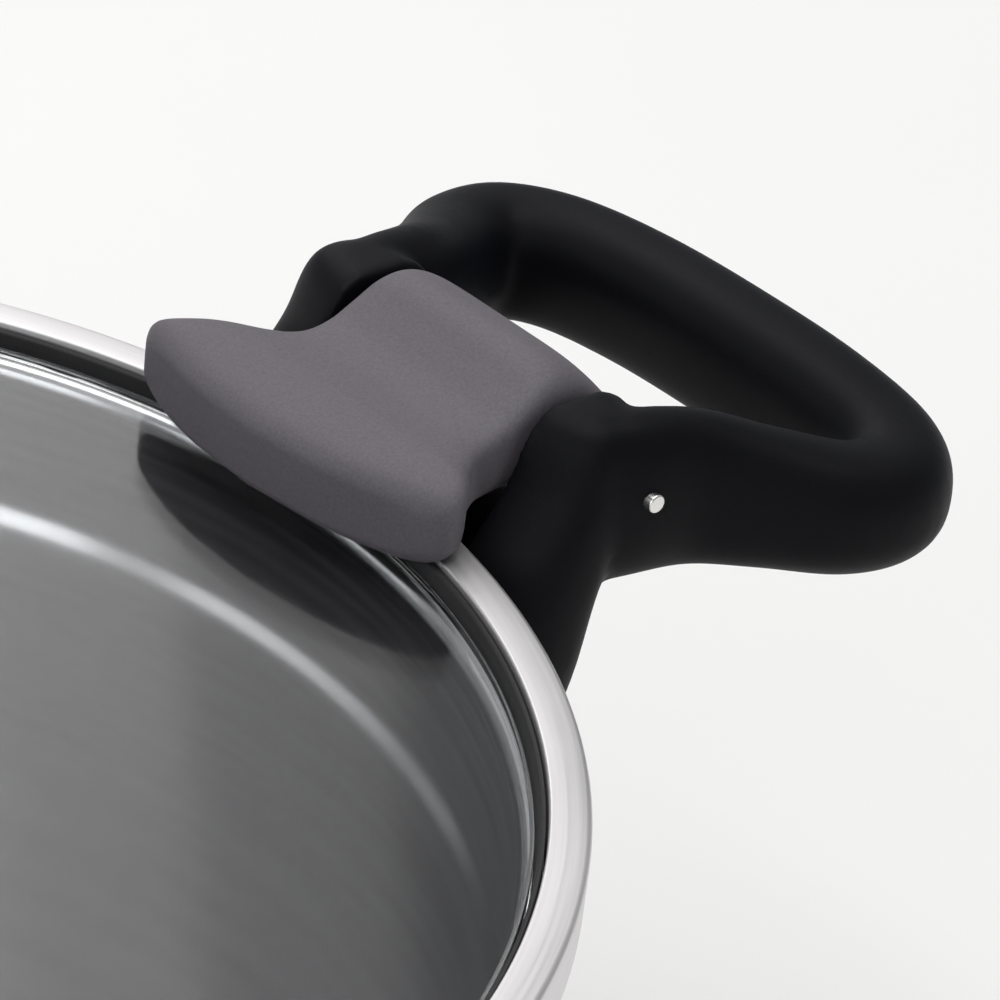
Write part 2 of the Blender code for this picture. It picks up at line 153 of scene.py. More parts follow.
# ---- finishes
def turnedSteel(name, look, centre=(0, 0)):
    material, tree, shader = newMaterial(name)
    point, w = ringPoint(tree, centre, look["linesPerMetre"], look["lineLength"])
    lines = noise(tree, point, 1.0, 4.0, 0.6, w)
    cloud = noise(tree, objectPoint(tree), look["cloudScale"], 3.0)
    tree.links.new(tint(tree, spread(tree, lines, 0, 1), look["dark"], look["light"]),
                   shader.inputs["Base Color"])
    shader.inputs["Metallic"].default_value = 1.0
    rough = math2(tree, "ADD", spread(tree, lines, look["smooth"], look["rough"]),
                  spread(tree, cloud, -look["cloudRough"], look["cloudRough"]))
    tree.links.new(rough, shader.inputs["Roughness"])
    tree.links.new(bump(tree, lines, look["lineDepth"]), shader.inputs["Normal"])
    return material


def clearGlass():
    look = {"tint": (0.945, 0.955, 0.965), "index": 1.5, "smudgeScale": 22.0,
            "clean": 0.07, "smudged": 0.10}
    material, tree, shader = newMaterial("temperedGlass")
    shader.inputs["Base Color"].default_value = (*look["tint"], 1)
    shader.inputs["Transmission Weight"].default_value = 1.0
    shader.inputs["IOR"].default_value = look["index"]
    smudge = noise(tree, objectPoint(tree), look["smudgeScale"], 4.0)
    tree.links.new(spread(tree, smudge, look["clean"], look["smudged"], 0.4, 0.75),
                   shader.inputs["Roughness"])
    return material


def mouldedPlastic(name, look):
    # two sizes of grain, faint blotches in the colour, and a skin that is never quite even
    material, tree, shader = newMaterial(name)
    point = objectPoint(tree)
    speck = noise(tree, point, look["speckScale"], 2.0, 0.7)
    grain = noise(tree, point, look["grainScale"], 3.0, 0.6)
    cloud = noise(tree, point, look["cloudScale"], 3.0)
    mixed = math2(tree, "ADD", spread(tree, speck, 0, look["speckShare"]),
                  spread(tree, cloud, 0, 1.0 - look["speckShare"]))
    tree.links.new(tint(tree, mixed, look["dark"], look["light"]), shader.inputs["Base Color"])
    uneven = math2(tree, "ADD", math2(tree, "MULTIPLY", cloud, 0.6),
                   math2(tree, "MULTIPLY", grain, 0.4))
    tree.links.new(spread(tree, uneven, look["smooth"], look["rough"]),
                   shader.inputs["Roughness"])
    shader.inputs["Specular IOR Level"].default_value = look["specular"]
    shader.inputs["Sheen Weight"].default_value = look["sheen"]
    shader.inputs["Sheen Roughness"].default_value = 0.45
    shader.inputs["Sheen Tint"].default_value = (*look["sheenTint"], 1)
    fine = bump(tree, speck, look["speckDepth"])
    tree.links.new(bump(tree, grain, look["grainDepth"], fine), shader.inputs["Normal"])
    return material


steelLook = {"linesPerMetre": 900.0, "lineLength": 2.2, "cloudScale": 30.0, "cloudRough": 0.025,
             "dark": (0.50, 0.50, 0.50), "light": (0.63, 0.625, 0.62),
             "smooth": 0.26, "rough": 0.38, "lineDepth": 0.000012}
wallSteel = turnedSteel("brushedPotWall", steelLook)
rimSteel = turnedSteel("satinRim", {**steelLook, "linesPerMetre": 1500.0,
                                    "dark": (0.68, 0.665, 0.67), "light": (0.76, 0.745, 0.75),
                                    "smooth": 0.4, "rough": 0.48, "lineDepth": 0.000003})
# painted shade: the inside of the pot gets a much darker copy of the same steel, standing in for
# the shade under the lid; the brushed lines on it are real
shadedInsideSteel = turnedSteel("brushedPotInsidePaintedShade", {**steelLook, "linesPerMetre": 500.0,
                                               "dark": (0.13, 0.13, 0.14),
                                               "light": (0.42, 0.42, 0.43),
                                               "smooth": 0.3, "rough": 0.42})
polishedSteel = turnedSteel("polishedStep", {**steelLook, "linesPerMetre": 2200.0,
                                             "dark": (0.78, 0.78, 0.78),
                                             "light": (0.88, 0.875, 0.87), "smooth": 0.15,
                                             "rough": 0.22, "lineDepth": 0.000002})
baseSteel = turnedSteel("spunBaseCap", {**steelLook, "linesPerMetre": 600.0, "rough": 0.42})
fittingSteel = turnedSteel("turnedFittings", {**steelLook, "linesPerMetre": 2400.0,
                                              "smooth": 0.18, "rough": 0.3,
                                              "light": (0.7, 0.69, 0.68)})
valveSteel = turnedSteel("turnedValve", {**steelLook, "linesPerMetre": 2400.0,
                                         "smooth": 0.2, "rough": 0.3}, sizes["valveAt"])
safetySteel = turnedSteel("turnedSafety", {**steelLook, "linesPerMetre": 2400.0,
                                           "smooth": 0.2, "rough": 0.3}, sizes["safetyAt"])
pinSteel = turnedSteel("hingePinSteel", {**steelLook, "linesPerMetre": 700.0,
                                         "dark": (0.74, 0.73, 0.70),
                                         "light": (0.82, 0.81, 0.78),
                                         "smooth": 0.2, "rough": 0.34,
                                         "lineDepth": 0.000004})
springSteel = turnedSteel("springWire", {**steelLook, "dark": (0.3, 0.3, 0.31),
                                         "light": (0.48, 0.48, 0.5)})
coreAluminium = turnedSteel("baseAluminium", {**steelLook, "dark": (0.72, 0.73, 0.74),
                                              "light": (0.84, 0.85, 0.86),
                                              "smooth": 0.36, "rough": 0.5})
glass = clearGlass()
softBlack = mouldedPlastic("softTouchBlack", {
    "dark": (0.0022, 0.0022, 0.0030), "light": (0.0048, 0.0050, 0.0066),
    "speckScale": 2600.0, "grainScale": 900.0, "cloudScale": 28.0, "speckShare": 0.4,
    "smooth": 0.46, "rough": 0.56, "specular": 0.09, "sheen": 0.006,
    "sheenTint": (0.35, 0.5, 1.0), "speckDepth": 0.000010, "grainDepth": 0.000012})
clipGrey = mouldedPlastic("clipGrey", {
    "dark": (0.088, 0.080, 0.090), "light": (0.124, 0.114, 0.127),
    "speckScale": 2300.0, "grainScale": 700.0, "cloudScale": 24.0, "speckShare": 0.75,
    "smooth": 0.52, "rough": 0.66, "specular": 0.32, "sheen": 0.04,
    "sheenTint": (0.9, 0.85, 1.0), "speckDepth": 0.000018, "grainDepth": 0.00001})
sealRubber = mouldedPlastic("sealRubber", {
    "dark": (0.012, 0.012, 0.013), "light": (0.024, 0.024, 0.025),
    "speckScale": 3000.0, "grainScale": 500.0, "cloudScale": 40.0, "speckShare": 0.3,
    "smooth": 0.48, "rough": 0.62, "specular": 0.25, "sheen": 0.03,
    "sheenTint": (1.0, 1.0, 1.0), "speckDepth": 0.000006, "grainDepth": 0.00001})
pressureRed = mouldedPlastic("pressureRed", {
    "dark": (0.42, 0.018, 0.012), "light": (0.58, 0.034, 0.022),
    "speckScale": 2600.0, "grainScale": 900.0, "cloudScale": 90.0, "speckShare": 0.4,
    "smooth": 0.32, "rough": 0.42, "specular": 0.5, "sheen": 0.0,
    "sheenTint": (1.0, 1.0, 1.0), "speckDepth": 0.000008, "grainDepth": 0.000008})
print("finishes mixed")


# ---- shape helpers
def turned(profile, steps=96, ring=False, cornerSteps=3):
    # (radius, height) or (radius, height, corner): the corner is rounded before the spin
    shape = bmesh.new()
    corners = [shape.verts.new((point[0], 0, point[1])) for point in profile]
    ends = corners[1:] + ([corners[0]] if ring else [])
    for a, b in zip(corners, ends):
        shape.edges.new((a, b))
    for corner, point in zip(corners, profile):
        if len(point) > 2:
            bmesh.ops.bevel(shape, geom=[corner], offset=point[2], offset_type="OFFSET",
                            segments=cornerSteps, profile=0.5, affect="VERTICES", material=-1)
    bmesh.ops.spin(shape, geom=shape.verts[:] + shape.edges[:], cent=(0, 0, 0),
                   axis=(0, 0, 1), dvec=(0, 0, 0), angle=2 * math.pi, steps=steps,
                   use_merge=True, use_duplicate=False)
    return shape


def moved(shape, at=(0, 0, 0), axis=None):
    if axis == "X":
        bmesh.ops.rotate(shape, verts=shape.verts, cent=(0, 0, 0),
                         matrix=Matrix.Rotation(math.pi / 2, 3, "Y"))
    if axis == "Y":
        bmesh.ops.rotate(shape, verts=shape.verts, cent=(0, 0, 0),
                         matrix=Matrix.Rotation(math.pi / 2, 3, "X"))
    bmesh.ops.translate(shape, verts=shape.verts, vec=at)
    return shape


def roundBlock(low, high, corner, segments=4):
    shape = bmesh.new()
    bmesh.ops.create_cube(shape, size=1.0)
    bmesh.ops.scale(shape, verts=shape.verts, vec=[b - a for a, b in zip(low, high)])
    bmesh.ops.translate(shape, verts=shape.verts, vec=[(a + b) / 2 for a, b in zip(low, high)])
    if corner:
        bmesh.ops.bevel(shape, geom=shape.edges[:], offset=corner, offset_type="OFFSET",
                        segments=segments, profile=0.5, affect="EDGES", material=-1)
    return shape


def superRing(shape, count, a, b, power, place):
    # a circle pushed out towards a rectangle; place turns its two offsets into a point
    made = bmesh.ops.create_circle(shape, cap_ends=False, radius=1.0, segments=count)
    for vert in made["verts"]:
        c, s = vert.co.x, vert.co.y
        vert.co = place(a * math.copysign(abs(c) ** (2.0 / power), c),
                        b * math.copysign(abs(s) ** (2.0 / power), s))
    verts = set(made["verts"])
    return [edge for edge in shape.edges if edge.verts[0] in verts and edge.verts[1] in verts]


def skin(shape, rings, fillStart=True):
    # joins the rings in their order and closes the two ends
    for a, b in zip(rings, rings[1:]):
        bmesh.ops.bridge_loops(shape, edges=a + b)
    if fillStart:
        bmesh.ops.holes_fill(shape, edges=rings[0], sides=0)
    bmesh.ops.holes_fill(shape, edges=rings[-1], sides=0)
    return shape


def meshOf(shape, name, sharp=35.0):
    # closes small seams and turns millimetres into metres
    bmesh.ops.remove_doubles(shape, verts=shape.verts, dist=0.002)
    bmesh.ops.recalc_face_normals(shape, faces=shape.faces)
    bmesh.ops.scale(shape, verts=shape.verts, vec=(mm, mm, mm))
    mesh = bpy.data.meshes.new(name)
    shape.to_mesh(mesh)
    shape.free()
    shade(mesh, sharp)
    return mesh


def shade(mesh, sharp=35.0, flatTops=False):
    mesh.shade_smooth()
    mesh.set_sharp_from_angle(angle=math.radians(sharp))
    if flatTops:  # keeps a flat face flat beside its rounded edge
        shape = bmesh.new()
        shape.from_mesh(mesh)
        for edge in shape.edges:
            level = [abs(face.normal.z) > 0.999 for face in edge.link_faces]
            if len(level) == 2 and level[0] != level[1]:
                edge.smooth = False
        shape.to_mesh(mesh)
        shape.free()


def worked(mesh, cuts=(), voxel=None, smooth=0, sharp=35.0):
    # applies cuts or joins, and for moulded parts one even skin over the result
    base = bpy.data.objects.new("workpiece", mesh)
    scene.collection.objects.link(base)
    tools = []
    for toolMesh, operation in cuts:
        tool = bpy.data.objects.new("tool", toolMesh)
        scene.collection.objects.link(tool)
        tools.append(tool)
        step = base.modifiers.new("cut", "BOOLEAN")
        step.object, step.operation, step.solver = tool, operation, "EXACT"
    if voxel:
        step = base.modifiers.new("skin", "REMESH")
        step.mode, step.voxel_size, step.adaptivity = "VOXEL", voxel * mm, 0.0
        step = base.modifiers.new("ease", "SMOOTH")
        step.factor, step.iterations = 0.5, smooth
    bpy.context.view_layer.update()
    done = bpy.data.meshes.new_from_object(
        base.evaluated_get(bpy.context.evaluated_depsgraph_get()))
    done.name = mesh.name + "Worked"
    for extra in [base] + tools:
        bpy.data.objects.remove(extra)
    shade(done, sharp)
    return done


def addPiece(name, mesh, finish, body, nodes):
    piece = bpy.data.objects.new(name, mesh)
    mesh.name = name
    scene.collection.objects.link(piece)
    mesh.materials.clear()
    mesh.materials.append(finish)
    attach(piece, body)
    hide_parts(*nodes)
    return piece


def halfTurned(mesh, tag):
    # side b is side a turned half way round the pot
    if tag == "b":
        mesh = mesh.copy()
        mesh.transform(Matrix.Rotation(math.pi, 4, "Z"))
    return mesh


def smoothKeys(keys, count):
    # rows on a Catmull-Rom curve through the key rows, evenly spaced in their first two
    dense = []
    for i in range(len(keys) - 1):
        before, after = keys[max(i - 1, 0)], keys[min(i + 2, len(keys) - 1)]
        for step in range(16):
            f = step / 16.0
            dense.append([0.5 * (2 * b + (c - a) * f + (2 * a - 5 * b + 4 * c - d) * f * f
                                 + (3 * b - a - 3 * c + d) * f ** 3)
                          for a, b, c, d in zip(before, keys[i], keys[i + 1], after)])
    dense.append(list(keys[-1]))
    run = [0.0]
    for a, b in zip(dense, dense[1:]):
        run.append(run[-1] + math.hypot(a[0] - b[0], a[1] - b[1]))
    rows, j = [], 0
    for k in range(count):
        want = run[-1] * k / (count - 1)
        while j < len(run) - 2 and run[j + 1] < want:
            j += 1
        f = min(max((want - run[j]) / max(run[j + 1] - run[j], 1e-9), 0.0), 1.0)
        rows.append([a + (b - a) * f for a, b in zip(dense[j], dense[j + 1])])
    return rows


# ---- pot
def buildPot():
    look = {"steps": 288, "wall": 1.0, "skirtDrop": 8.5, "floorCorner": 13.0,
            "shoulder": 2.7, "stepLip": 0.5}
    wall, low, up = look["wall"], sizes["wallLow"], sizes["wallUp"]
    ledge, step, seat = sizes["ledgeTop"], sizes["stepHeight"], sizes["seatRadius"]
    bottom, edge = sizes["floorTop"], rim - look["skirtDrop"]
    profile = [
        (0, bottom), (low, bottom, look["floorCorner"]),
        (low, step - 2.6, 0.5), (low - look["stepLip"], step - 1.4, 0.5), (up, step + 1.0, 0.5),
        (up, ledge, look["shoulder"]), (seat, ledge, 0.25), (seat, rim, 0.35),
        (sizes["rimRadius"], rim, 0.8), (sizes["rimRadius"], edge, 0.45),
        (sizes["rimRadius"] - wall, edge, 0.45), (sizes["rimRadius"] - wall, rim - wall, 0.4),
        (seat + wall, rim - wall, 0.4), (seat + wall, ledge - wall, 0.4),
        (up + wall, ledge - wall, 0.6), (up + wall, step + 0.9, 0.7),
        (low + wall, step - 1.3, 0.7), (low + wall, bottom - wall, look["floorCorner"] + 0.9),
        (0, bottom - wall)]
    mesh = meshOf(turned(profile, look["steps"], cornerSteps=6), "potShell", 40.0)
    addPiece("potShell", mesh, wallSteel, "pot", ["pot_shell"])
    for finish in (rimSteel, polishedSteel, shadedInsideSteel):
        mesh.materials.append(finish)
    for face in mesh.polygons:
        x, y, height = face.center / mm
        radius = math.hypot(x, y)
        inside = face.normal.z > 0.1 or face.normal.x * x + face.normal.y * y < -0.1
        if radius > seat - 0.1 and height > ledge + 1:
            face.material_index = 1
        elif inside and (height > ledge - look["shoulder"] or -1.6 < height - step < 1.3):
            face.material_index = 2
        # painted shade: every other inside face takes the darker copy of the steel
        elif inside:
            face.material_index = 3
    cap = [(0, 0), (93.5, 0, 0.8), (95.8, 2.4, 1.6), (95.8, 6.2, 0.5), (95.1, 6.9, 0.2),
           (94.2, 6.2, 0.3), (94.0, 2.6, 0.8), (92.9, 0.65, 0.4), (0, 0.65)]
    addPiece("baseCap", meshOf(turned(cap, 192, cornerSteps=4), "baseCap"), baseSteel, "pot",
             ["base_cap"])
    core = [(0, 0.95), (92.0, 0.95, 0.6), (92.0, 6.9, 0.6), (0, 6.9)]
    addPiece("baseCore", meshOf(turned(core, 160), "baseCore"), coreAluminium, "pot",
             ["base_core"])


# ---- turned fittings of the lid
def lidFittings():
    # name, node, finish, slot, body, centre, whether the profile is a ring, spin steps, profile
    valve, safety = sizes["valveAt"], sizes["safetyAt"]
    seat, edge = sizes["seatRadius"], sizes["glassRadius"]
    return [
        ("lidGasket", "lid_gasket", sealRubber, "black_silicone", "lid", middle, True, 288,
         [(edge + 0.3, under + 0.1), (seat - 0.3, under + 0.1), (seat - 0.3, rim - 0.9, 0.2),
          (seat - 0.9, rim - 1.2, 0.2), (edge + 0.35, top + 0.4, 0.2)]),
        ("knobWasher", "knob_washer", sealRubber, "black_silicone", "lid", middle, True, 96,
         [(3.6, top + 0.3, 0.2), (17.0, top + 0.3, 0.2), (17.0, top + 1.3, 0.35),
          (3.6, top + 1.3, 0.2)]),
        ("knobFoot", "knob_foot", softBlack, "black_soft_touch", "lid", middle, True, 128,
         [(3.5, top + 1.6, 0.2), (21.6, top + 1.6, 0.8), (21.6, top + 4.4, 1.2),
          (11.2, top + 7.6, 4.0), (9.6, top + 16.6, 0.5), (3.5, top + 16.6, 0.3)]),
        ("knobInlay", "knob_inlay", fittingSteel, "stainless_steel", "lid", middle, False, 128,
         [(0, top + 33.2), (15.95, top + 33.2, 0.15), (15.95, top + 34.0, 0.3),
          (12.0, top + 34.8, 2.0), (0, top + 35.0)]),
        ("knobBolt", "knob_bolt", fittingSteel, "stainless_steel", "lid", middle, False, 64,
         [(0, under - 4.4), (7.2, under - 4.4, 0.8), (7.2, under - 1.6, 0.3),
          (3.1, under - 1.6, 0.2), (3.1, top + 27.0, 0.4), (0, top + 27.0)]),
        ("knobUnderWasher", "knob_under_washer", sealRubber, "black_silicone", "lid", middle,
         True, 64, [(3.5, under - 1.3, 0.2), (9.5, under - 1.3, 0.3), (9.5, under - 0.3, 0.3),
                    (3.5, under - 0.3, 0.2)]),
        ("valveSeal", "valve_seal", sealRubber, "black_silicone", "lid", valve, True, 72,
         [(6.3, top + 0.3, 0.2), (11.0, top + 0.3, 0.25), (11.0, top + 1.4, 0.4),
          (6.3, top + 1.4, 0.2)]),
        ("valveBody", "valve_body", valveSteel, "stainless_steel", "lid", valve, True, 72,
         [(2.2, under - 7.0, 0.2), (6.0, under - 7.0, 0.5), (6.0, top + 1.7, 0.2),
          (11.4, top + 1.7, 0.4), (11.4, top + 5.0, 0.6), (8.6, top + 5.0, 0.4),
          (8.6, top + 13.4, 0.4), (6.4, top + 13.4, 0.3), (6.4, top + 5.2, 0.3),
          (2.2, top + 5.2, 0.2)]),
        ("safetySeal", "safety_seal", sealRubber, "black_silicone", "lid", safety, True, 64,
         [(5.2, top + 0.3, 0.2), (8.6, top + 0.3, 0.25), (8.6, top + 1.3, 0.35),
          (5.2, top + 1.3, 0.2)]),
        ("safetyBody", "safety_body", safetySteel, "stainless_steel", "lid", safety, True, 64,
         [(2.6, under - 5.0, 0.2), (5.0, under - 5.0, 0.5), (5.0, top + 1.6, 0.2),
          (9.0, top + 1.6, 0.4), (8.6, top + 4.6, 0.9), (6.4, top + 5.6, 0.5),
          (2.6, top + 5.6, 0.4)]),
        ("pressurePin", "safety_pin", pressureRed, "signal_red", "pressure_pin", safety, False,
         48, [(0, under - 8.6), (3.8, under - 8.6, 0.4), (3.8, under - 7.4, 0.3),
              (2.2, under - 7.4, 0.2), (2.2, top + 5.9, 0.2), (4.4, top + 5.9, 0.25),
              (4.2, top + 7.4, 0.7), (0, top + 7.8)]),
        ("valvePlunger", "valve_plunger", valveSteel, "stainless_steel", "valve_stem", valve,
         False, 48, [(0, top + 1.2), (1.8, top + 1.2, 0.2), (1.8, top + 5.5, 0.2),
                     (5.4, top + 5.5, 0.3), (5.4, top + 6.9, 0.3), (2.2, top + 6.9, 0.2),
                     (2.2, top + 12.0, 0.6), (0, top + 12.0)]),
    ]


def buildLid():
    look = {"knobHole": 4.4, "valveHole": 6.4, "safetyHole": 5.4, "drill": 10.0}
    radius, thick, drill = sizes["glassRadius"], sizes["glassThick"], look["drill"]
    pane = turned([(0, under), (radius, under, 0.5), (radius, top, 0.6), (0, top)], 288)
    holes = []
    for hole, (x, y) in ((look["knobHole"], middle), (look["valveHole"], sizes["valveAt"]),
                         (look["safetyHole"], sizes["safetyAt"])):
        bit = turned([(0, -drill), (hole, -drill), (hole, drill), (0, drill)], 64)
        holes.append((meshOf(moved(bit, (x, y, top - thick / 2)), "hole"), "DIFFERENCE"))
    mesh = worked(meshOf(pane, "lidGlass"), holes)
    shade(mesh, 30.0, True)
    addPiece("lidGlass", mesh, glass, "lid", ["lid_glass"])
    for name, node, finish, slotName, body, (x, y), ring, steps, profile in lidFittings():
        mesh = meshOf(moved(turned(profile, steps, ring, 4), (x, y, 0)), name)
        addPiece(name, mesh, finish, body, [node])


def buildKnob():
    look = {"boltRadius": 3.4, "boltHalf": 7.0, "boltAt": 21.0}
    grip = turned([(0, top + 16.9), (13.5, top + 16.9, 1.6), (27.5, top + 21.6, 4.0),
                   (27.5, top + 30.0, 4.4), (17.5, top + 34.0, 1.2), (16.4, top + 34.0, 0.3),
                   (16.4, top + 32.9, 0.2), (0, top + 32.9)], 160, cornerSteps=8)
    radius, half = look["boltRadius"], look["boltHalf"]
    bolt = moved(turned([(0, -half), (radius, -half), (radius, half), (0, half)], 48),
                 (0, 0, top + look["boltAt"]))
    mesh = worked(meshOf(grip, "knobGrip"), [(meshOf(bolt, "bolt"), "DIFFERENCE")])
    addPiece("knobGrip", mesh, softBlack, "lid", ["knob_grip"])


def buildNut(name, node, finish, at, bore, across, low, high):
    # six flats, with the corners turned off top and bottom
    nut = turned([(0, low), (across, low), (across, high), (0, high)], 6)
    turnedOff = turned([(0, low - 0.01), (across * 0.9, low - 0.01), (across, low + 0.9),
                        (across, high - 0.9), (across * 0.9, high + 0.01), (0, high + 0.01)], 72)
    hole = turned([(0, low - 3), (bore, low - 3), (bore, high + 3), (0, high + 3)], 64)
    parts = [meshOf(moved(part, (*at, 0)), name) for part in (nut, turnedOff, hole)]
    mesh = worked(parts[0], [(parts[1], "INTERSECT"), (parts[2], "DIFFERENCE")])
    addPiece(name, mesh, finish, "lid", [node])


def buildValveCap():
    look = {"ridgeLength": 23.0, "ridgeWidth": 4.4, "ridgeTop": 22.4, "portRadius": 1.8,
            "portHalf": 6.0, "portOut": 15.0, "portHeight": 10.5}
    x, y = sizes["valveAt"]
    cap = turned([(0, top + 15.8), (12.4, top + 15.8, 0.3), (12.4, top + 6.3, 0.4),
                  (15.0, top + 6.3, 0.8), (15.0, top + 19.4, 3.0), (0, top + 19.4)], 128,
                 cornerSteps=8)
    half, wide = look["ridgeLength"] / 2, look["ridgeWidth"] / 2
    ridge = roundBlock((-half, -wide, top + 18.0), (half, wide, top + look["ridgeTop"]), 1.4, 5)
    radius, deep = look["portRadius"], look["portHalf"]
    port = moved(turned([(0, -deep), (radius, -deep), (radius, deep), (0, deep)], 32),
                 (0, -look["portOut"], top + look["portHeight"]), "Y")
    parts = [meshOf(moved(part, (x, y, 0)), "valveCap") for part in (cap, ridge)]
    bmesh.ops.translate(port, verts=port.verts, vec=(x, y, 0))
    mesh = worked(parts[0], [(parts[1], "UNION"), (meshOf(port, "port"), "DIFFERENCE")])
    addPiece("valveCap", mesh, softBlack, "valve_dial", ["valve_cap"])


# ---- handle loops
def earBlock():
    # height over the rim, middle, half depth, half width; the far side is a little wider
    look = {"rows": 48, "around": 56, "power": 2.7, "farSide": 1.08}
    levels = [(-33.0, 124.5, 4.0, 22.0), (-32.6, 124.5, 6.4, 25.4), (-31.0, 124.5, 8.8, 28.2),
              (-27.0, 124.5, 10.2, 30.4), (-19.0, 125.0, 10.8, 32.2), (-9.0, 126.5, 12.0, 32.2),
              (-2.0, 129.2, 12.4, 31.6), (5.0, 133.0, 11.2, 31.0), (10.0, 134.2, 10.2, 30.6),
              (13.0, 134.6, 9.2, 29.8), (14.9, 134.6, 7.2, 28.2), (15.7, 134.6, 5.0, 26.0)]
    rows = smoothKeys([(z, 0, c, a, b) for z, c, a, b in levels], look["rows"])
    shape = bmesh.new()
    wider = look["farSide"]
    rings = [superRing(shape, look["around"], a, b, look["power"],
                       lambda u, v, c=c, z=z: (c + u, v * (wider if v > 0 else 1.0), rim + z))
             for z, _, c, a, b in rows]
    return skin(shape, rings)


def loopGrip():
    # place of the bar's middle, its half width, and its lower and upper side over the rim
    look = {"rows": 121, "around": 40, "power": 2.5, "lean": 0.28}
    half = [(131.0, 24.6, 5.0, -10.0, 15.0), (138.5, 26.9, 5.8, -9.2, 15.6),
            (148.0, 29.4, 5.8, -8.8, 14.2), (157.0, 34.8, 6.8, -9.2, 11.2),
            (166.2, 40.4, 7.7, -10.0, 8.8), (174.6, 40.6, 8.1, -10.3, 8.0),
            (180.4, 32.8, 8.1, -10.2, 8.0), (182.8, 18.0, 8.1, -9.8, 8.4),
            (183.2, 0.0, 8.1, -9.6, 8.6)]
    rows = smoothKeys(half + [(x, -y, w, lo, hi) for x, y, w, lo, hi in half[-2::-1]],
                      look["rows"])
    shape = bmesh.new()
    rings = []
    for i, (x, y, w, lo, hi) in enumerate(rows):
        ax, ay = rows[max(i - 1, 0)][:2]
        bx, by = rows[min(i + 1, len(rows) - 1)][:2]
        length = math.hypot(bx - ax, by - ay)
        nx, ny = (by - ay) / length, -(bx - ax) / length
        rings.append(superRing(
            shape, look["around"], w, (hi - lo) / 2, look["power"],
            lambda u, v, x=x, y=y, nx=nx, ny=ny, m=(lo + hi) / 2, h=(hi - lo) / 2:
            (x + nx * u, y + ny * u, rim + m + v - look["lean"] * u * max(0.0, -v / h))))
    return skin(shape, rings)


def rodX(radius, x0, x1, y, z, steps=40):
    half = (x1 - x0) / 2
    return meshOf(moved(turned([(0, -half), (radius, -half), (radius, half), (0, half)], steps),
                        ((x0 + x1) / 2, y, z), "X"), "rodX")


def rodY(radius, x, z, half=60.0, steps=40):
    return meshOf(moved(turned([(0, -half), (radius, -half), (radius, half), (0, half)], steps),
                        (x, 0, z), "Y"), "rodY")


def buildHandles():
    look = {"voxel": 0.7, "ease": 16, "earInside": 19.6, "slotFloor": rim - 6.5,
            "skirtEnd": rim - 9.3, "overRim": rim + 2.4, "bossHole": 4.4, "shankHole": 2.3}
    # the loop stays clear of the bracket, the turned-down edge and the rim
    wall, brim = sizes["bracketOut"] + sizes["clearance"], sizes["rimRadius"] + 0.5
    skirt, over = look["skirtEnd"], look["overRim"]
    zone = [(0, rim - 60), (wall, rim - 60), (wall, skirt), (brim, skirt), (brim, over), (0, over)]
    inside = look["earInside"]
    cuts = [(meshOf(loopGrip(), "grip"), "UNION"),
            (meshOf(turned(zone, 288), "zone"), "DIFFERENCE"),
            (meshOf(roundBlock((100, -inside, look["slotFloor"]), (160, inside, rim + 40), 0),
                    "slot"), "DIFFERENCE")]
    wide, narrow = look["bossHole"], look["shankHole"]
    for y in (sizes["screwY"], -sizes["screwY"]):
        # boss, shank and head of one screw
        hole = turned([(0, 100), (wide, 100), (wide, 120.4), (narrow, 120.4), (narrow, 130),
                       (wide, 130), (wide, 152), (0, 152)], 44)
        cuts.append((meshOf(moved(hole, (0, y, sizes["screwZ"]), "X"), "screwHole"),
                     "DIFFERENCE"))
    mesh = worked(meshOf(earBlock(), "ear"), cuts, look["voxel"], look["ease"], 60.0)
    for tag in "ab":
        addPiece("handleLoop" + tag.upper(), halfTurned(mesh, tag), softBlack, "pot",
                 ["handle_loop_" + tag])


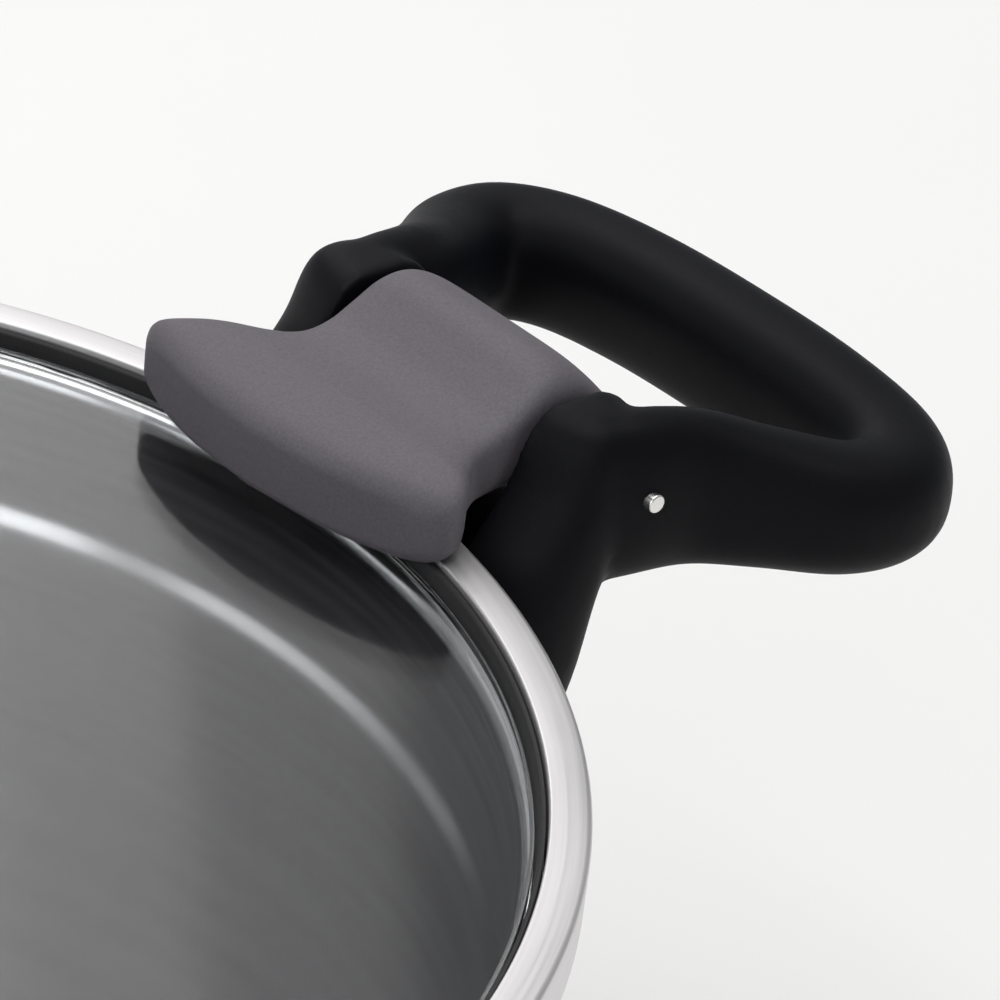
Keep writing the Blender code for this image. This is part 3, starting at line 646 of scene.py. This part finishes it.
# ---- clips
def clipShape():
    look = {"rows": 96, "around": 76, "power": 5.6, "noseFrom": 117.0, "noseRun": 16.0,
            "front": 101.0, "back": 146.8, "corner": 1.7, "width": 18.2,
            "bodyFrom": 124.0, "shift": 5.6, "curve": 0.007, "curveAt": 9.0}
    # distance from the pot's middle, half width, underside and top above the rim
    keys = [(101.0, 28.4, -1.4, 8.6), (101.6, 28.8, -1.4, 9.0), (104.0, 29.3, -1.4, 10.4),
            (108.0, 27.6, -1.0, 11.5), (111.5, 25.2, 0.4, 12.0), (115.5, 21.6, 1.6, 12.0),
            (119.5, 18.9, 1.8, 12.2), (123.5, 18.3, 2.0, 13.2), (127.5, 18.2, 1.8, 15.5),
            (131.0, 18.2, 0.2, 17.7), (134.5, 18.2, -2.2, 18.4), (138.0, 18.2, -3.4, 17.2),
            (141.5, 18.2, -2.9, 14.2), (144.5, 18.0, -0.8, 10.8), (146.8, 17.2, 2.2, 7.8)]
    dense = smoothKeys([(x, 0.0, w, lo, hi) for x, w, lo, hi in keys], 400)
    front, back, corner = look["front"], look["back"], look["corner"]
    turnIn = [corner * (1 - math.cos(math.radians(a))) for a in range(0, 90, 15)]
    places = [front + t for t in turnIn]
    first, last = front + corner, back - corner
    places += [first + (last - first) * k / look["rows"] for k in range(look["rows"] + 1)]
    places += [back - t for t in reversed(turnIn)]
    shape = bmesh.new()
    rings = []
    for i, x in enumerate([front] + places):
        j = max(1, next((k for k, row in enumerate(dense) if row[0] >= x), len(dense) - 1))
        a, b = dense[j - 1], dense[j]
        f = min(max((x - a[0]) / (b[0] - a[0]), 0.0), 1.0)
        w, lo, hi = [p + (q - p) * f for p, q in zip(a[2:], b[2:])]
        edge = max(0.0, corner - min(x - front, back - x))
        inset = corner - math.sqrt(max(corner ** 2 - edge ** 2, 0.0))
        w = (min(w, look["width"]) if x > look["bodyFrom"] else w) - inset
        nose = max(0.0, (look["noseFrom"] - x) / look["noseRun"])
        tall = 0.0 if i == 0 else (hi - lo) / 2 - inset  # the first ring closes the front
        rings.append(superRing(
            shape, look["around"], w, tall, look["power"],
            lambda y, v, x=x, n=nose, m=(lo + hi) / 2:
            (x + n * look["curve"] * (y + look["shift"] * n - look["curveAt"]) ** 2,
             y + look["shift"] * n, rim + m + v)))
    return skin(shape, rings, False)


def buildClips():
    look = {"springDeep": 4.6, "springWide": 5.6, "pocketTop": 4.4, "padIn": 106.4, "padOut": 110.6,
            "padHalf": 13.0, "padRoom": 0.4, "gapIn": 110.5, "gapOut": 119.8, "overRim": 1.5}
    x, z, over = sizes["pinX"], sizes["pinZ"], rim + look["overRim"]
    deep, wide, low = look["springDeep"], look["springWide"], top - 9
    pocket = roundBlock((x - deep, -wide, z - 20), (x + deep, wide, z + look["pocketTop"]), 0.6, 2)
    room, padHalf = look["padRoom"], look["padHalf"]
    padSeat = roundBlock((look["padIn"] - 0.5, -padHalf - room, low),
                         (look["padOut"] + 0.6, padHalf + room, over), 0.2, 1)
    gapIn, gapOut = look["gapIn"], look["gapOut"]
    rimGap = turned([(gapIn, low), (gapOut, low), (gapOut, over), (gapIn + 3.1, over),
                     (gapIn, over - 2.6)], 288, True)
    lever = worked(meshOf(clipShape(), "lever"),
                   [(rodY(sizes["pinRadius"] + sizes["clearance"], x, z), "DIFFERENCE"),
                    (meshOf(pocket, "pocket"), "DIFFERENCE"),
                    (meshOf(padSeat, "padSeat"), "DIFFERENCE"),
                    (meshOf(rimGap, "rimGap"), "DIFFERENCE")], sharp=38.0)
    pad = meshOf(roundBlock((look["padIn"], -padHalf, top + sizes["clearance"]),
                            (look["padOut"], padHalf, over - sizes["clearance"]), 0.8, 4), "pad")
    radius, half = sizes["pinRadius"], sizes["pinHalf"]
    pin = meshOf(moved(turned([(0, -half), (radius, -half, 0.3), (radius, half, 0.3), (0, half)],
                              48, cornerSteps=4), (x, 0, z), "Y"), "pin")
    for tag in "ab":
        big, body = tag.upper(), "clip_%s_lever" % tag
        addPiece("clip" + big, halfTurned(lever, tag), clipGrey, body, ["clip_" + tag])
        addPiece("clipPad" + big, halfTurned(pad, tag), sealRubber, body, ["clip_pad_" + tag])
        addPiece("clipPin" + big, halfTurned(pin, tag), pinSteel, "pot", ["clip_pin_" + tag])


# ---- brackets and screws behind the handles
def buildBrackets():
    look = {"low": rim - 29.0, "high": rim - 11.4, "reach": 26.0, "bossRadius": 4.0,
            "boreRadius": 2.1, "screwAt": 114.6, "screwLength": 18.6, "headFrom": 15.8,
            "headRadius": 4.0, "shankRadius": 1.8, "keyRadius": 1.7}
    plate = roundBlock((sizes["bracketIn"], -1, look["low"]),
                       (sizes["bracketOut"], 1, look["high"]), 0)
    # one end of the plate is spun round the pot
    bmesh.ops.delete(plate, geom=[f for f in plate.faces if f.normal.y > -0.5], context="FACES")
    bmesh.ops.translate(plate, verts=plate.verts, vec=(0, 1, 0))
    bmesh.ops.rotate(plate, verts=plate.verts, cent=(0, 0, 0),
                     matrix=Matrix.Rotation(math.radians(-look["reach"] / 2), 3, "Z"))
    bmesh.ops.spin(plate, geom=plate.verts[:] + plate.edges[:] + plate.faces[:],
                   cent=(0, 0, 0), axis=(0, 0, 1), dvec=(0, 0, 0),
                   angle=math.radians(look["reach"]), steps=24, use_merge=False,
                   use_duplicate=False)
    screwZ = sizes["screwZ"]
    sides = (sizes["screwY"], -sizes["screwY"])
    cuts = [(rodX(look["bossRadius"], 112.6, 120.0, y, screwZ), "UNION") for y in sides]
    cuts += [(rodX(look["boreRadius"], 114.2, 125.0, y, screwZ), "DIFFERENCE") for y in sides]
    bracket = worked(meshOf(plate, "bracket"), cuts)
    head, length = look["headFrom"], look["screwLength"]
    shank, wide, key = look["shankRadius"], look["headRadius"], look["keyRadius"]
    for tag in "ab":
        addPiece("handleBracket" + tag.upper(), halfTurned(bracket, tag), fittingSteel, "pot",
                 ["handle_bracket_" + tag])
        for side, y in (("left", sides[0]), ("right", sides[1])):
            screw = turned([(0, 0), (shank, 0, 0.4), (shank, head, 0.2), (wide, head, 0.3),
                            (wide, length, 1.5), (0, length)], 48, cornerSteps=4)
            socket = moved(turned([(0, -1.4), (key, -1.4), (key, 2.0), (0, 2.0)], 6),
                           (0, 0, length))
            at = (look["screwAt"], y, screwZ)
            mesh = worked(meshOf(moved(screw, at, "X"), "screw"),
                          [(meshOf(moved(socket, at, "X"), "key"), "DIFFERENCE")])
            addPiece("handleScrew%s%s" % (side.title(), tag.upper()), halfTurned(mesh, tag),
                     fittingSteel, "pot", ["handle_screw_%s_%s" % (side, tag)])


def refinish():
    # the coil springs keep their own meshes
    for node in ("valve_spring", "clip_spring_a", "clip_spring_b"):
        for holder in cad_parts[node].material_slots:
            holder.material = springSteel


# ---- studio
def buildStudio():
    look = {"floorTint": (0.845, 0.84, 0.835), "worldTint": (0.97, 0.985, 1.0),
            "worldStrength": 0.36, "span": 12.0,
            "panelTurn": (63.0, 36.0), "panelAway": 2.4, "panelStep": 0.05,
            "panelWidth": 1.3, "panelHeight": 1.5, "panelInsets": (0.0, 0.12, 0.24),
            "panelRadiance": 0.53, "panelColour": (1.0, 0.985, 0.99), "aim": (0, 0, 0.1)}
    shape = bmesh.new()
    bmesh.ops.create_grid(shape, x_segments=8, y_segments=8, size=look["span"] / 2)
    mesh = bpy.data.meshes.new("studioFloor")
    shape.to_mesh(mesh)
    shape.free()
    floor = bpy.data.objects.new("studioFloor", mesh)
    scene.collection.objects.link(floor)
    material, tree, shader = newMaterial("palePaper")
    cloud = noise(tree, objectPoint(tree), 3.0, 3.0)
    light = look["floorTint"]
    tree.links.new(tint(tree, spread(tree, cloud, 0, 1), [c * 0.985 for c in light], light),
                   shader.inputs["Base Color"])
    shader.inputs["Roughness"].default_value = 0.9
    shader.inputs["Specular IOR Level"].default_value = 0.1
    mesh.materials.append(material)
    world = bpy.data.worlds.new("studio")
    scene.world = world
    world.use_nodes = True
    sky = next(n for n in world.node_tree.nodes if n.type == "BACKGROUND")
    sky.inputs["Color"].default_value = (*look["worldTint"], 1)
    sky.inputs["Strength"].default_value = look["worldStrength"]
    turn, lift = (math.radians(angle) for angle in look["panelTurn"])
    ahead = Vector((math.cos(lift) * math.cos(turn), math.cos(lift) * math.sin(turn),
                    math.sin(lift)))
    aside = Vector((-math.sin(turn), math.cos(turn), 0))
    # name, place, width, height, radiance, colour
    lamps = [
        ("overhead", (0.0, 0.2, 2.6), 2.4, 2.4, 2.85, (1.0, 0.995, 0.985)),
        ("leftFill", (-2.35, -0.85, 1.05), 2.6, 1.9, 1.5, (0.97, 0.985, 1.0)),
        ("leftBack", (-1.9, 1.7, 1.0), 1.9, 1.7, 0.8, (0.98, 0.99, 1.0)),
    ]
    # panels one behind the other, each narrower on the right, so their light fades out there
    for k, inset in enumerate(look["panelInsets"]):
        wide = look["panelWidth"] - inset
        at = ahead * (look["panelAway"] + look["panelStep"] * k) + aside * inset / 2
        lamps.append(("backPanel%d" % (k + 1), tuple(at), wide, look["panelHeight"],
                      look["panelRadiance"], look["panelColour"]))
    for name, at, wide, tall, radiance, colour in lamps:
        lamp = bpy.data.lights.new(name, "AREA")
        lamp.shape, lamp.size, lamp.size_y = "RECTANGLE", wide, tall
        lamp.energy = radiance * math.pi * wide * tall
        lamp.color = colour
        holder = bpy.data.objects.new(name, lamp)
        holder.location = at
        towards = Vector(look["aim"]) - Vector(at)
        holder.rotation_euler = towards.to_track_quat("-Z", "Y").to_euler()
        scene.collection.objects.link(holder)


def buildCamera():
    look = {"at": (-0.2605226, -0.4169233, 0.4681946),
            "turn": (1.0383228, -0.1066615, -0.7053486), "lens": 177.764}
    camera = bpy.data.cameras.new("camera")
    camera.lens, camera.sensor_width = look["lens"], 36.0
    camera.clip_start = 0.02
    holder = bpy.data.objects.new("camera", camera)
    holder.location, holder.rotation_euler = look["at"], look["turn"]
    scene.collection.objects.link(holder)
    scene.camera = holder
    scene.view_settings.view_transform = "Standard"


buildPot()
print("pot done")
buildLid()
buildKnob()
buildNut("valveNut", "valve_nut", valveSteel, sizes["valveAt"], 6.3, 10.4, under - 4.6,
         under - 0.3)
buildNut("safetyNut", "safety_nut", safetySteel, sizes["safetyAt"], 5.3, 8.8, under - 3.8,
         under - 0.3)
buildValveCap()
print("lid done")
buildHandles()
print("handles done")
buildClips()
buildBrackets()
refinish()
print("clips and brackets done")
buildStudio()
buildCamera()
print("studio ready")
